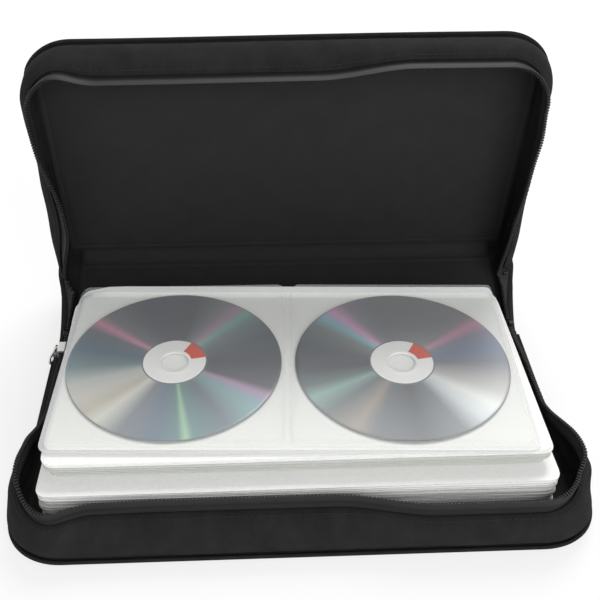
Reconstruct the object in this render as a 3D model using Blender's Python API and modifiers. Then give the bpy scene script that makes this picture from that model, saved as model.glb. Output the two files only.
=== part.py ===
"""A zip-round disc case, standing open: a shallow base tray and lid tray joined by a spine panel,
a bound block of sleeve pages in the base, and two discs in the clear pockets of the top page.

Metres, +Z up. The origin is the middle of the base panel's underside; +X is the long side and
+Y points back to the spine. Each cover is modelled flat in its own hinge frame: the fold line is
the X axis, the cover runs to -Y and its inside faces +Z.
"""
import math

import bmesh
import bpy
from mathutils import Euler, Matrix, Vector

MM = 0.001

# Covers and spine
CASE_WIDTH = 302 * MM
COVER_DEPTH = 164 * MM
SPINE_WIDTH = 67 * MM
CORNER_RADIUS = 29 * MM
PANEL_THICKNESS = 3.2 * MM
LINING_THICKNESS = 0.8 * MM
LINING_INSET = 5 * MM
SEAT_GAP = 0.3 * MM
FOLD_GAP = 0.4 * MM

# How far the case stands open
SPINE_ANGLE = math.radians(23.5)
LID_ANGLE = math.radians(96.5)

# Gusset walls: a soft band sewn round three sides of each cover
GUSSET_THICKNESS = 1.5 * MM
BASE_BULGE = 4.6 * MM
LID_BULGE = 3.2 * MM
BULGE_DROOP = 0.75
RIM_CLEARANCE = 0.8 * MM
TAPE_EXPOSED = 8 * MM
TAPE_HIDDEN = 4 * MM
TAPE_THICKNESS = 0.9 * MM
TAPE_UPRIGHT = 6 * MM
CORNER_FLARE = 1.0 * MM
BASE_FRONT_LEAN = 6.8 * MM
LID_FRONT_LEAN = 5.2 * MM
SLUMP_LEFT = (-138 * MM, -106 * MM)
SLUMP_RIGHT = (15 * MM, 68 * MM)
BASE_SIDE_LEAN = 5.2 * MM
LID_SIDE_LEAN = 3.0 * MM
BASE_REAR_RIM = 14.5 * MM
LID_REAR_RIM = 31 * MM
REAR_RIM_SLOPE = math.tan(math.radians(1.9))
SLACK_FRONT = 128 * MM
SLACK_REAR = 74 * MM

# Zip rows
TOOTH_PITCH = 5 * MM
TOOTH_WIDTH = 2.2 * MM
TOOTH_HEIGHT = 1.6 * MM
TOOTH_NOTCH = 0.8 * MM
STOP_LENGTH = 3 * MM
STOP_WIDTH = 3.4 * MM
STOP_HEIGHT = 1.9 * MM

# Piping cord in the seam between each panel and its gusset
PIPING_RADIUS = 1.1 * MM
PIPING_CORNER_STEPS = 10

# Slider and pull on the left row of the base
SLIDER_PLACE = 18 * MM
SLIDER_LENGTH = 9 * MM
SLIDER_WALL = 1.2 * MM
SLIDER_SKIRT = 2.0 * MM
SLIDER_RUNNING_GAP = 0.4 * MM
SLIDER_SLOT = 2.1 * MM
BRIDGE_WIDTH = 2.4 * MM
BRIDGE_BAR = 0.8 * MM
BRIDGE_REACH = 2.6 * MM
BRIDGE_SPAN = 5.2 * MM
PULL_LENGTH = 12 * MM
PULL_WIDTH = 5.8 * MM
PULL_THICKNESS = 0.8 * MM
PULL_ANGLE = math.radians(12)

# Page block: sleeve leaves bound along their back edge. The top leaf lies askew; the leaves under
# it lie square to the case in two groups, and the lower group has slid furthest forward.
PAGE_SIDE_ROOM = 22.5 * MM
PAGE_END_ROOM = 34.8 * MM
PAGE_TO_FOLD = 7.7 * MM
PAGE_SHIFT = -4.5 * MM
PAGE_WIDTH = CASE_WIDTH - 2 * PAGE_SIDE_ROOM
PAGE_DEPTH = COVER_DEPTH - PAGE_END_ROOM
BOUND_EDGE_SHIFT = 0.4 * MM
PAGE_BACK = PAGE_DEPTH / 2 - BOUND_EDGE_SHIFT
PAGE_FRONT = PAGE_DEPTH / 2 + BOUND_EDGE_SHIFT
PAGE_CORNER = 7 * MM
PACK_PLACE = Vector((PAGE_SHIFT, COVER_DEPTH / 2 - PAGE_TO_FOLD - PAGE_BACK))
PACK_SKEW = math.radians(-2.2)
DISC_TOP = 48.4 * MM
LEAF_COUNT = 13
LEAF_GROOVE = 1.2 * MM
LEAF_GAP = 0.7 * MM
LEAF_STEP = 0.45 * MM
LOWER_LEAVES = 8
LOWER_REACH = 11.5 * MM
LOWER_LEFT = 4 * MM
LOWER_RIGHT = 7 * MM
MIDDLE_LEAVES = 4
MIDDLE_REACH = 1.5 * MM
MIDDLE_SPREAD = 2.7 * MM

# Binding strip and rivets
STRIP_THICKNESS = 1.6 * MM
STRIP_HEIGHT = 22 * MM
STRIP_END_ROOM = 8.5 * MM
STRIP_LENGTH = PAGE_WIDTH - 2 * STRIP_END_ROOM
RIVET_RADIUS = 3 * MM
RIVET_DOME = 0.9 * MM
RIVET_END_ROOM = 30 * MM
RIVET_SPACING = STRIP_LENGTH / 2 - RIVET_END_ROOM

# Two clear pocket films side by side on the top page, each with a disc of 60 mm radius in it
FILM_BORDER = 2.3 * MM
FILM_GAP = 2.4 * MM
FILM_END_ROOM = 2.1 * MM
FILM_SHIFT = 1 * MM
FILM_WIDTH = (PAGE_WIDTH - FILM_GAP) / 2 - FILM_BORDER
FILM_DEPTH = PAGE_DEPTH - 2 * FILM_END_ROOM
FILM_THICKNESS = 0.25 * MM
FILM_CORNER = 4 * MM
DISC_MARGIN = 2.5 * MM
DISC_RADIUS = FILM_WIDTH / 2 - DISC_MARGIN
DISC_HOLE_RADIUS = 7.5 * MM
DISC_THICKNESS = 1.2 * MM
DISC_SPACING = FILM_WIDTH + FILM_GAP

# Derived places, in the hinge frame of a cover
HALF_WIDTH = CASE_WIDTH / 2
HALF_PANEL = PANEL_THICKNESS / 2
PANEL_BACK = -(HALF_PANEL + FOLD_GAP)
WALL_FOOT = HALF_PANEL + SEAT_GAP
WALL_BACK = PANEL_BACK - FOLD_GAP
LEAN_START = WALL_FOOT + GUSSET_THICKNESS
TAPE_FOOT = WALL_FOOT + 2 * GUSSET_THICKNESS
LINING_TOP = HALF_PANEL + SEAT_GAP + LINING_THICKNESS
FULL_RIM = SPINE_WIDTH / 2 - RIM_CLEARANCE
SIDE_RUN = COVER_DEPTH - CORNER_RADIUS + WALL_BACK
ARC_RUN = CORNER_RADIUS * math.pi / 2
FRONT_RUN = CASE_WIDTH - 2 * CORNER_RADIUS
PATH_LENGTH = 2 * SIDE_RUN + 2 * ARC_RUN + FRONT_RUN
ROW_INSET = GUSSET_THICKNESS + 2 * SEAT_GAP + TAPE_THICKNESS / 2
TAPE_REACH = ROW_INSET + TAPE_THICKNESS / 2 + max(BASE_SIDE_LEAN, LID_SIDE_LEAN) + SEAT_GAP

BASE_FOLD = Vector((0, COVER_DEPTH / 2, HALF_PANEL))
SPINE_RUN = Vector((0, math.cos(SPINE_ANGLE), math.sin(SPINE_ANGLE))) * SPINE_WIDTH
LID_FOLD = BASE_FOLD + SPINE_RUN


def clear_scene():
    for old in list(bpy.data.objects):
        bpy.data.objects.remove(old, do_unlink=True)


def new_collection(name):
    group = bpy.data.collections.new(name)
    bpy.context.scene.collection.children.link(group)
    return group


clear_scene()
CASE = new_collection("disc_case")
CUTTERS = new_collection("disc_case_cutters")


def finish(name, colour, roughness, metallic=0.0, alpha=1.0):
    material = bpy.data.materials.new(name)
    material.use_nodes = True
    shader = material.node_tree.nodes["Principled BSDF"]
    shader.inputs["Base Color"].default_value = (*colour, 1)
    shader.inputs["Roughness"].default_value = roughness
    shader.inputs["Metallic"].default_value = metallic
    shader.inputs["Alpha"].default_value = alpha
    return material


COVER_CLOTH = finish("black_cover_cloth", (0.022, 0.022, 0.022), 0.8)
LINING_CLOTH = finish("black_lining_cloth", (0.02, 0.02, 0.02), 0.85)
ZIP_TAPE = finish("black_zip_tape", (0.025, 0.025, 0.026), 0.5)
ZIP_NYLON = finish("black_zip_nylon", (0.03, 0.03, 0.03), 0.35)
SLIDER_METAL = finish("nickel_slider", (0.62, 0.62, 0.6), 0.3, metallic=1.0)
SLEEVE = finish("white_sleeve", (0.82, 0.83, 0.8), 0.6)
CLEAR_FILM = finish("clear_film", (0.9, 0.92, 0.92), 0.1, alpha=0.15)
DISC_FACE = finish("silver_disc", (0.6, 0.61, 0.62), 0.15, metallic=1.0)
RIVET_METAL = finish("steel_rivet", (0.5, 0.5, 0.5), 0.35, metallic=1.0)


def frame_empty(name, location, rotation=None, parent=None):
    empty = bpy.data.objects.new(name, None)
    CASE.objects.link(empty)
    empty.parent = parent
    empty.location = location
    if rotation is not None:
        empty.rotation_mode = "QUATERNION"
        empty.rotation_quaternion = rotation
    return empty


def add_mesh(name, mesh_data, material, parent, smooth_angle=35):
    mesh = bpy.data.meshes.new(name)
    mesh_data.to_mesh(mesh)
    mesh_data.free()
    mesh.materials.append(material)
    mesh.shade_smooth()
    mesh.set_sharp_from_angle(angle=math.radians(smooth_angle))
    piece = bpy.data.objects.new(name, mesh)
    CASE.objects.link(piece)
    piece.parent = parent
    return piece


def solidify(piece, thickness, offset=-1):
    modifier = piece.modifiers.new("thickness", "SOLIDIFY")
    modifier.thickness = thickness
    modifier.offset = offset
    modifier.use_even_offset = True


def flat_piece(name, outlines, thickness, material, parent, middle=(0, 0, 0), turn=None, edge=0.0):
    """A flat plate from 2D outlines; outlines after the first are holes."""
    curve = bpy.data.curves.new(name, "CURVE")
    curve.dimensions = "2D"
    curve.fill_mode = "BOTH"
    curve.extrude = thickness / 2 - edge
    if edge:
        curve.bevel_depth = edge
        curve.bevel_resolution = 0
        curve.offset = -edge
    for outline in outlines:
        spline = curve.splines.new("POLY")
        spline.points.add(len(outline) - 1)
        for point, place in zip(spline.points, outline):
            point.co = (place[0], place[1], 0, 1)
        spline.use_cyclic_u = True
    curve.materials.append(material)
    piece = bpy.data.objects.new(name, curve)
    CASE.objects.link(piece)
    piece.parent = parent
    piece.location = middle
    if turn is not None:
        piece.rotation_mode = "QUATERNION"
        piece.rotation_quaternion = turn
    return piece


def arc(centre, radius, start, end, steps):
    """Points on an arc, angles in degrees."""
    points = []
    for step in range(steps + 1):
        angle = math.radians(start + (end - start) * step / steps)
        points.append((centre[0] + radius * math.cos(angle), centre[1] + radius * math.sin(angle)))
    return points


def rounded_rectangle(left, right, front, back, radius, steps=4):
    return (arc((right - radius, back - radius), radius, 0, 90, steps)
            + arc((left + radius, back - radius), radius, 90, 180, steps)
            + arc((left + radius, front + radius), radius, 180, 270, steps)
            + arc((right - radius, front + radius), radius, 270, 360, steps))


def cover_outline(inset, back):
    """The cover's plan: square at the fold, rounded at its two front corners."""
    radius = CORNER_RADIUS - inset
    side = HALF_WIDTH - inset
    front = -COVER_DEPTH + inset
    return ([(side, back), (-side, back)]
            + arc((-side + radius, front + radius), radius, 180, 270, 9)
            + arc((side - radius, front + radius), radius, 270, 360, 9))


def smooth_ramp(value, start, end):
    """0 before start, 1 past end, smooth between; works in either direction."""
    share = min(1.0, max(0.0, (value - start) / (end - start)))
    return share * share * (3 - 2 * share)


def seam_place(distance):
    """Plan point and outward direction at a distance along the three-sided seam,
    from the left back end round the front to the right back end."""
    left_arc = SIDE_RUN
    front_start = left_arc + ARC_RUN
    right_arc = front_start + FRONT_RUN
    right_side = right_arc + ARC_RUN
    corner_y = -COVER_DEPTH + CORNER_RADIUS
    corner_x = HALF_WIDTH - CORNER_RADIUS
    if distance <= left_arc:
        return Vector((-HALF_WIDTH, WALL_BACK - distance)), Vector((-1, 0))
    if distance < front_start:
        angle = math.pi + (distance - left_arc) / CORNER_RADIUS
        outward = Vector((math.cos(angle), math.sin(angle)))
        return Vector((-corner_x, corner_y)) + outward * CORNER_RADIUS, outward
    if distance <= right_arc:
        return Vector((-corner_x + distance - front_start, -COVER_DEPTH)), Vector((0, -1))
    if distance < right_side:
        angle = 1.5 * math.pi + (distance - right_arc) / CORNER_RADIUS
        outward = Vector((math.cos(angle), math.sin(angle)))
        return Vector((corner_x, corner_y)) + outward * CORNER_RADIUS, outward
    return Vector((HALF_WIDTH, corner_y + distance - right_side)), Vector((1, 0))


class Wall:
    """The sewn form of one cover's gusset: its rim height, bulge and lean, all round.
    The lid's frame has its X reversed, so left tells which sign of X is the case's left."""

    def __init__(self, rear_rim, side_lean, front_lean, bulge, left):
        self.rear_rim = rear_rim
        self.side_lean = side_lean
        self.front_lean = front_lean
        self.bulge = bulge
        self.left = left

    def slack(self, place, outward):
        """How far a side has gone slack: 0 at the front corners, 1 beside the pages."""
        if abs(outward.x) < 1:
            return 0.0
        return smooth_ramp(place.y, -SLACK_FRONT, -SLACK_REAR)

    def rim(self, distance):
        """Height of the teeth tops over the fold line."""
        place, outward = seam_place(distance)
        rear = self.rear_rim + (WALL_BACK - place.y) * REAR_RIM_SLOPE
        return FULL_RIM + (min(rear, FULL_RIM) - FULL_RIM) * self.slack(place, outward)

    def lean(self, distance):
        """How far the rim leans in over the seam."""
        place, outward = seam_place(distance)
        across = -place.x * self.left
        slump = smooth_ramp(across, *SLUMP_LEFT) * (1 - smooth_ramp(across, *SLUMP_RIGHT))
        return (-CORNER_FLARE + (self.side_lean + CORNER_FLARE) * self.slack(place, outward)
                + (self.front_lean + CORNER_FLARE) * slump)

    def face(self, distance, height):
        """A point of the wall's outer face at a height over the fold line."""
        place, outward = seam_place(distance)
        rim = self.rim(distance)
        share = max(0.0, (height - WALL_FOOT) / (rim - WALL_FOOT)) ** BULGE_DROOP
        firmness = ((rim - WALL_FOOT) / (FULL_RIM - WALL_FOOT)) ** 2
        out = (-SEAT_GAP + firmness * self.bulge * 16 * (share * (1 - share)) ** 2
               - self.lean(distance) * smooth_ramp(height, LEAN_START, rim - TAPE_UPRIGHT))
        plan = place + outward * out
        return Vector((plan.x, plan.y, height))

    def point(self, distance, height, inset):
        """A point of the wall set in from its outer face, square to the cloth."""
        reach = 0.1 * MM
        along = self.face(distance + reach, height) - self.face(distance - reach, height)
        up = self.face(distance, height + reach) - self.face(distance, height - reach)
        return self.face(distance, height) - along.cross(up).normalized() * inset


BASE_WALL = Wall(BASE_REAR_RIM, BASE_SIDE_LEAN, BASE_FRONT_LEAN, BASE_BULGE, left=-1)
LID_WALL = Wall(LID_REAR_RIM, LID_SIDE_LEAN, LID_FRONT_LEAN, LID_BULGE, left=1)


def bent_band(name, wall, low, high, inset, thickness, rows, material, parent):
    """A soft band: a flat grid bent to the wall between two heights, then given thickness."""
    columns = 60
    data = bmesh.new()
    bmesh.ops.create_grid(data, x_segments=columns, y_segments=rows, size=1)
    for vertex in data.verts:
        along = (vertex.co.x + 1) / 2 * PATH_LENGTH
        up = (vertex.co.y + 1) / 2
        height = low(along) + (high(along) - low(along)) * up
        vertex.co = wall.point(along, height, inset)
    piece = add_mesh(name, data, material, parent)
    solidify(piece, thickness)
    return piece


def loft(name, rings, material, parent, smooth_angle=35):
    """A closed body through like rings of points, with flat ends."""
    data = bmesh.new()
    loops = [[data.verts.new(point) for point in ring] for ring in rings]
    count = len(loops[0])
    for near, far in zip(loops, loops[1:]):
        for index in range(count):
            after = (index + 1) % count
            data.faces.new((near[index], near[after], far[after], far[index]))
    data.faces.new(list(reversed(loops[0])))
    data.faces.new(loops[-1])
    bmesh.ops.recalc_face_normals(data, faces=data.faces)
    return add_mesh(name, data, material, parent, smooth_angle)


def build_teeth(name, wall, parent):
    """One toothed zip row along the rim: a bar whose top is notched at each pitch."""
    first = STOP_LENGTH + 2 * SEAT_GAP
    last = PATH_LENGTH - first
    steps = 2 * round((last - first) / TOOTH_PITCH)
    rings = []
    for step in range(steps + 1):
        along = first + (last - first) * step / steps
        top = wall.rim(along)
        crown = top if step % 2 else top - TOOTH_NOTCH
        foot = top - TOOTH_HEIGHT
        middle = wall.point(along, top, ROW_INSET)
        outward = seam_place(along)[1].to_3d()
        half = outward * TOOTH_WIDTH / 2
        corners = ((half, foot), (half, crown), (-half, crown), (-half, foot))
        rings.append([Vector((*(middle + side).xy, height)) for side, height in corners])
    return loft(name, rings, ZIP_NYLON, parent, smooth_angle=20)


def build_stop(name, wall, along, parent):
    """A crimped stop on the tape's edge at the end of a row."""
    data = bmesh.new()
    bmesh.ops.create_cube(data, size=1)
    bmesh.ops.scale(data, vec=(STOP_WIDTH, STOP_LENGTH, STOP_HEIGHT), verts=data.verts)
    bmesh.ops.bevel(data, geom=list(data.edges), offset=0.4 * MM, segments=1, affect="EDGES")
    stop = add_mesh(name, data, ZIP_NYLON, parent)
    foot = wall.rim(along) - TOOTH_HEIGHT
    stop.location = wall.point(along, foot, ROW_INSET) + Vector((0, 0, STOP_HEIGHT / 2))
    return stop


def build_piping(name, parent):
    """The corded seam round the outside of a panel."""
    curve = bpy.data.curves.new(name, "CURVE")
    curve.dimensions = "3D"
    curve.fill_mode = "FULL"
    curve.bevel_depth = PIPING_RADIUS
    curve.bevel_resolution = 1
    curve.use_fill_caps = True
    spline = curve.splines.new("POLY")
    corner = [ARC_RUN * step / PIPING_CORNER_STEPS for step in range(PIPING_CORNER_STEPS + 1)]
    second_corner = SIDE_RUN + ARC_RUN + FRONT_RUN
    stations = ([0] + [SIDE_RUN + along for along in corner]
                + [second_corner + along for along in corner] + [PATH_LENGTH])
    spline.points.add(len(stations) - 1)
    for station, point in zip(stations, spline.points):
        place, outward = seam_place(station)
        plan = place + outward * (PIPING_RADIUS + SEAT_GAP)
        point.co = (plan.x, plan.y, HALF_PANEL - SEAT_GAP, 1)
    curve.materials.append(COVER_CLOTH)
    piece = bpy.data.objects.new(name, curve)
    CASE.objects.link(piece)
    piece.parent = parent
    return piece


def build_cover(prefix, wall, parent):
    """One tray of the case in its hinge frame: panel, lining, gusset, piping and zip row."""
    flat_piece(prefix + "_panel", [cover_outline(0, PANEL_BACK)], PANEL_THICKNESS, COVER_CLOTH,
               parent, edge=0.5 * MM)
    lining_back = -(LINING_TOP + SEAT_GAP + LINING_INSET)
    flat_piece(prefix + "_lining", [cover_outline(LINING_INSET, lining_back)], LINING_THICKNESS,
               LINING_CLOTH, parent, middle=(0, 0, LINING_TOP - LINING_THICKNESS / 2))
    bent_band(prefix + "_gusset", wall, lambda along: WALL_FOOT,
              lambda along: wall.rim(along) - TAPE_EXPOSED, 0, GUSSET_THICKNESS, 5,
              COVER_CLOTH, parent)
    bent_band(prefix + "_zip_tape", wall,
              lambda along: max(wall.rim(along) - TAPE_EXPOSED - TAPE_HIDDEN, TAPE_FOOT),
              lambda along: wall.rim(along) - TOOTH_HEIGHT - SEAT_GAP,
              GUSSET_THICKNESS + 2 * SEAT_GAP, TAPE_THICKNESS, 4, ZIP_TAPE, parent)
    build_teeth(prefix + "_zip_teeth", wall, parent)
    stop_place = SEAT_GAP + STOP_LENGTH / 2
    build_stop(prefix + "_zip_stop_left", wall, stop_place, parent)
    build_stop(prefix + "_zip_stop_right", wall, PATH_LENGTH - stop_place, parent)
    build_piping(prefix + "_piping", parent)


def build_spine(parent):
    """The spine panel, half round along both folds so that it turns within its own gap."""
    outline = (arc((0, 0), HALF_PANEL, 90, 270, 8)
               + arc((SPINE_WIDTH, 0), HALF_PANEL, -90, 90, 8))
    on_edge = Matrix(((0, 0, 1), (1, 0, 0), (0, 1, 0))).to_quaternion()
    flat_piece("spine_panel", [outline], CASE_WIDTH, COVER_CLOTH, parent, turn=on_edge)
    margin = LINING_TOP + SEAT_GAP + LINING_INSET
    half = HALF_WIDTH - TAPE_REACH - SEAT_GAP
    lining = rounded_rectangle(-half, half, margin, SPINE_WIDTH - margin, 2 * MM)
    flat_piece("spine_lining", [lining], LINING_THICKNESS, LINING_CLOTH, parent,
               middle=(0, 0, LINING_TOP - LINING_THICKNESS / 2))


def leaf_plan(level):
    """Sides of one leaf in the top page's frame, and how far it turns back about the middle of the
    bound edge. Each lies a little differently."""
    half = PAGE_WIDTH / 2
    front = PAGE_FRONT + LEAF_STEP * math.sin(2.4 * level)
    shift = LEAF_STEP * 2 * math.sin(1.7 * level + 0.6)
    if level < LOWER_LEAVES:
        back = PAGE_BACK - (STRIP_THICKNESS + RIVET_DOME + 2 * SEAT_GAP)
        return (shift - half - LOWER_LEFT, shift + half + LOWER_RIGHT, -front - LOWER_REACH, back,
                -PACK_SKEW)
    if level < LOWER_LEAVES + MIDDLE_LEAVES:
        return (shift / 2 - half - MIDDLE_SPREAD, shift / 2 + half + MIDDLE_SPREAD,
                -front - MIDDLE_REACH, PAGE_BACK, -PACK_SKEW)
    return -half, half, -PAGE_FRONT, PAGE_BACK, 0.0


def turned_leaf(left, right, front, back, turn, radius, height):
    """A ring of points round a leaf, turned about the middle of the bound edge."""
    about = Matrix.Rotation(turn, 2)
    bound = Vector((0, PAGE_BACK))
    ring = []
    for corner in rounded_rectangle(left, right, front, back, radius):
        plan = bound + about @ (Vector(corner) - bound)
        ring.append(Vector((plan.x, plan.y, height)))
    return ring


def build_page_block(parent, bottom, top):
    """Sleeve leaves as one bound block, with a groove between each pair of leaves on every edge."""
    pitch = (top - bottom + LEAF_GAP) / LEAF_COUNT
    rings = []
    for level in range(LEAF_COUNT):
        leaf = leaf_plan(level)
        low = bottom + pitch * level
        high = low + pitch - LEAF_GAP
        rings.append(turned_leaf(*leaf, PAGE_CORNER, low))
        rings.append(turned_leaf(*leaf, PAGE_CORNER, high))
        if level == LEAF_COUNT - 1:
            break
        above = leaf_plan(level + 1)
        inset = LEAF_GROOVE + PAGE_WIDTH / 2 * abs(math.sin(leaf[4] - above[4]))
        groove = (max(leaf[0], above[0]) + inset, min(leaf[1], above[1]) - inset,
                  max(leaf[2], above[2]) + inset, min(leaf[3], above[3]) - inset,
                  (leaf[4] + above[4]) / 2)
        rings.append(turned_leaf(*groove, PAGE_CORNER - LEAF_GROOVE / 2, high))
        rings.append(turned_leaf(*groove, PAGE_CORNER - LEAF_GROOVE / 2, high + LEAF_GAP))
    return loft("page_block", rings, SLEEVE, parent, smooth_angle=25)


def build_rivet(name, x, strip_back, height, parent):
    """A domed rivet head on the back of the binding strip, turned about its own axis."""
    profile = bmesh.new()
    points = [Vector((0, 0, RIVET_DOME))]
    for step in range(1, 5):
        angle = math.radians(90 * step / 4)
        points.append(Vector((RIVET_RADIUS * math.sin(angle), 0,
                              RIVET_DOME * (0.35 + 0.65 * math.cos(angle)))))
    points.append(Vector((RIVET_RADIUS, 0, 0)))
    points.append(Vector((0, 0, 0)))
    vertices = [profile.verts.new(point) for point in points]
    for start, end in zip(vertices, vertices[1:]):
        profile.edges.new((start, end))
    rivet = add_mesh(name, profile, RIVET_METAL, parent)
    turn = rivet.modifiers.new("turned", "SCREW")
    turn.steps = 20
    turn.render_steps = 20
    turn.use_merge_vertices = True
    turn.merge_threshold = 0.00005
    rivet.location = (x, strip_back + SEAT_GAP, height)
    rivet.rotation_mode = "QUATERNION"
    rivet.rotation_quaternion = Euler((math.radians(-90), 0, 0)).to_quaternion()
    return rivet


def build_pack(parent, floor):
    """The bound pages with their binding strip, rivets, discs and pocket films."""
    bottom = floor + SEAT_GAP
    top = DISC_TOP - HALF_PANEL - DISC_THICKNESS - SEAT_GAP
    build_page_block(parent, bottom, top)
    lower = leaf_plan(0)
    bound = frame_empty("bound_edge_frame", (0, PAGE_BACK, 0),
                        Euler((0, 0, lower[4])).to_quaternion(), parent)
    strip_middle = lower[3] - PAGE_BACK + SEAT_GAP + STRIP_THICKNESS / 2
    strip = rounded_rectangle(-STRIP_LENGTH / 2, STRIP_LENGTH / 2, bottom, bottom + STRIP_HEIGHT,
                              2 * MM)
    upright = Euler((math.radians(90), 0, 0)).to_quaternion()
    flat_piece("binding_strip", [strip], STRIP_THICKNESS, LINING_CLOTH, bound,
               middle=(0, strip_middle, 0), turn=upright)
    for number, place in enumerate((-1, 0, 1), start=1):
        build_rivet("binding_rivet_%d" % number, place * RIVET_SPACING,
                    strip_middle + STRIP_THICKNESS / 2, bottom + STRIP_HEIGHT / 2, bound)
    disc_middle = top + SEAT_GAP + DISC_THICKNESS / 2
    film_middle = disc_middle + DISC_THICKNESS / 2 + SEAT_GAP + FILM_THICKNESS / 2
    rim = arc((0, 0), DISC_RADIUS, 0, 360, 72)[:-1]
    hole = arc((0, 0), DISC_HOLE_RADIUS, 0, 360, 24)[:-1]
    film = rounded_rectangle(-FILM_WIDTH / 2, FILM_WIDTH / 2, -FILM_DEPTH / 2, FILM_DEPTH / 2,
                             FILM_CORNER)
    for side, sign in (("left", -1), ("right", 1)):
        middle = sign * DISC_SPACING / 2
        flat_piece("disc_" + side, [rim, hole], DISC_THICKNESS, DISC_FACE, parent,
                   middle=(middle, 0, disc_middle))
        flat_piece("pocket_film_" + side, [film], FILM_THICKNESS, CLEAR_FILM, parent,
                   middle=(middle, FILM_SHIFT, film_middle))


def slider_section():
    """The slider across its travel: a C that wraps the row, open below for the tape."""
    channel = TOOTH_WIDTH / 2 + SLIDER_RUNNING_GAP
    outside = channel + SLIDER_WALL
    roof = SLIDER_RUNNING_GAP
    skirt = roof - SLIDER_SKIRT - TOOTH_HEIGHT
    lip = skirt + SLIDER_WALL
    slot = SLIDER_SLOT / 2
    return [(-outside, skirt), (-slot, skirt), (-slot, lip), (-channel, lip), (-channel, roof),
            (channel, roof), (channel, lip), (slot, lip), (slot, skirt), (outside, skirt),
            (outside, roof + SLIDER_WALL / 2), (outside - SLIDER_WALL / 2, roof + SLIDER_WALL),
            (-outside + SLIDER_WALL / 2, roof + SLIDER_WALL), (-outside, roof + SLIDER_WALL / 2)]


def build_slider(parent):
    """Slider body with the bridge that carries the pull, then the pull, free on the bridge."""
    face = TOOTH_WIDTH / 2 + SLIDER_RUNNING_GAP + SLIDER_WALL
    along_travel = Euler((math.radians(90), 0, 0)).to_quaternion()
    body = flat_piece("zip_slider", [slider_section()], SLIDER_LENGTH, SLIDER_METAL, parent,
                      turn=along_travel)
    half = BRIDGE_SPAN / 2
    inner = half - BRIDGE_BAR
    reach = BRIDGE_REACH
    bridge_outline = [(0.4 * MM, -half), (0.4 * MM, -inner), (BRIDGE_BAR - reach, -inner),
                      (BRIDGE_BAR - reach, inner), (0.4 * MM, inner), (0.4 * MM, half),
                      (-reach + 0.3 * MM, half), (-reach, half - 0.3 * MM),
                      (-reach, -half + 0.3 * MM), (-reach + 0.3 * MM, -half)]
    bridge = flat_piece("slider_bridge_form", [bridge_outline], BRIDGE_WIDTH, SLIDER_METAL, parent,
                        middle=(-face, 0, -TOOTH_HEIGHT))
    return join_pieces(body, bridge), face


def as_mesh_piece(piece):
    """Turn a filled curve into a welded mesh object of the same name and place."""
    bpy.context.view_layer.update()
    name = piece.name
    evaluated = piece.evaluated_get(bpy.context.evaluated_depsgraph_get())
    mesh = bpy.data.meshes.new_from_object(evaluated)
    data = bmesh.new()
    data.from_mesh(mesh)
    bmesh.ops.remove_doubles(data, verts=data.verts, dist=0.00001)
    data.to_mesh(mesh)
    data.free()
    place = piece.matrix_world.copy()
    parent = piece.parent
    bpy.data.objects.remove(piece, do_unlink=True)
    solid = bpy.data.objects.new(name, mesh)
    CASE.objects.link(solid)
    solid.parent = parent
    solid.matrix_world = place
    return solid


def join_pieces(body, addition):
    """Union a second form into a piece; the form stays as a hidden guide."""
    body = as_mesh_piece(body)
    addition = as_mesh_piece(addition)
    CASE.objects.unlink(addition)
    CUTTERS.objects.link(addition)
    addition.hide_render = True
    addition.display_type = "WIRE"
    union = body.modifiers.new("bridge", "BOOLEAN")
    union.operation = "UNION"
    union.solver = "EXACT"
    union.object = addition
    return body


def build_pull(parent):
    """The flat pull: a window at its root clears the bridge, and its cross bar runs under it."""
    bar = BRIDGE_BAR / 2
    window_end = BRIDGE_REACH + 1.4 * MM
    half = PULL_WIDTH / 2
    window_half = BRIDGE_WIDTH / 2 + 0.4 * MM
    tip = PULL_LENGTH - half
    outline = [(half - 0.8 * MM, bar), (-half + 0.8 * MM, bar), (-half, bar - 0.8 * MM)]
    outline += arc((0, -tip), half, 180, 360, 10)
    outline += [(half, bar - 0.8 * MM)]
    window = [(-window_half, -bar), (window_half, -bar), (window_half, -window_end),
              (-window_half, -window_end)]
    finger_hole = rounded_rectangle(-half + 1.6 * MM, half - 1.6 * MM, -tip - 0.6 * MM,
                                    -window_end - 2 * MM, 1.1 * MM, steps=3)
    upright = Matrix(((0, 0, 1), (0, 1, 0), (-1, 0, 0))).to_quaternion()
    flat_piece("slider_pull", [outline, window, finger_hole], PULL_THICKNESS, SLIDER_METAL, parent,
               turn=upright)


def build_case():
    base = frame_empty("base_frame", BASE_FOLD)
    spine = frame_empty("spine_fold_axis", BASE_FOLD, Euler((SPINE_ANGLE, 0, 0)).to_quaternion())
    opened = Matrix.Rotation(LID_ANGLE - math.pi, 3, "X") @ Matrix.Rotation(math.pi, 3, "Y")
    lid = frame_empty("lid_fold_axis", LID_FOLD, opened.to_quaternion())
    build_cover("base", BASE_WALL, base)
    build_cover("lid", LID_WALL, lid)
    build_spine(spine)

    skew = Euler((0, 0, PACK_SKEW)).to_quaternion()
    pack_place = Vector((PACK_PLACE.x, PACK_PLACE.y - BASE_FOLD.y, 0))
    pack = frame_empty("page_pack_frame", pack_place, skew, base)
    build_pack(pack, LINING_TOP)

    row_top = BASE_WALL.rim(SLIDER_PLACE)
    row_place = BASE_WALL.point(SLIDER_PLACE, row_top, ROW_INSET)
    run_slope = Euler((-math.atan(REAR_RIM_SLOPE), 0, 0)).to_quaternion()
    slider = frame_empty("slider_frame", row_place, run_slope, base)
    face = build_slider(slider)[1]
    pivot_out = BRIDGE_REACH - BRIDGE_BAR
    pivot = Vector((-face - pivot_out / 2, 0, -TOOTH_HEIGHT))
    swing = Euler((0, 0, -PULL_ANGLE)).to_quaternion()
    build_pull(frame_empty("pull_axis", pivot, swing, slider))


build_case()
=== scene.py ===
"""Looks of a zip-round disc case: black cloth covers, an open zip, sleeve pages and two discs."""

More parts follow.
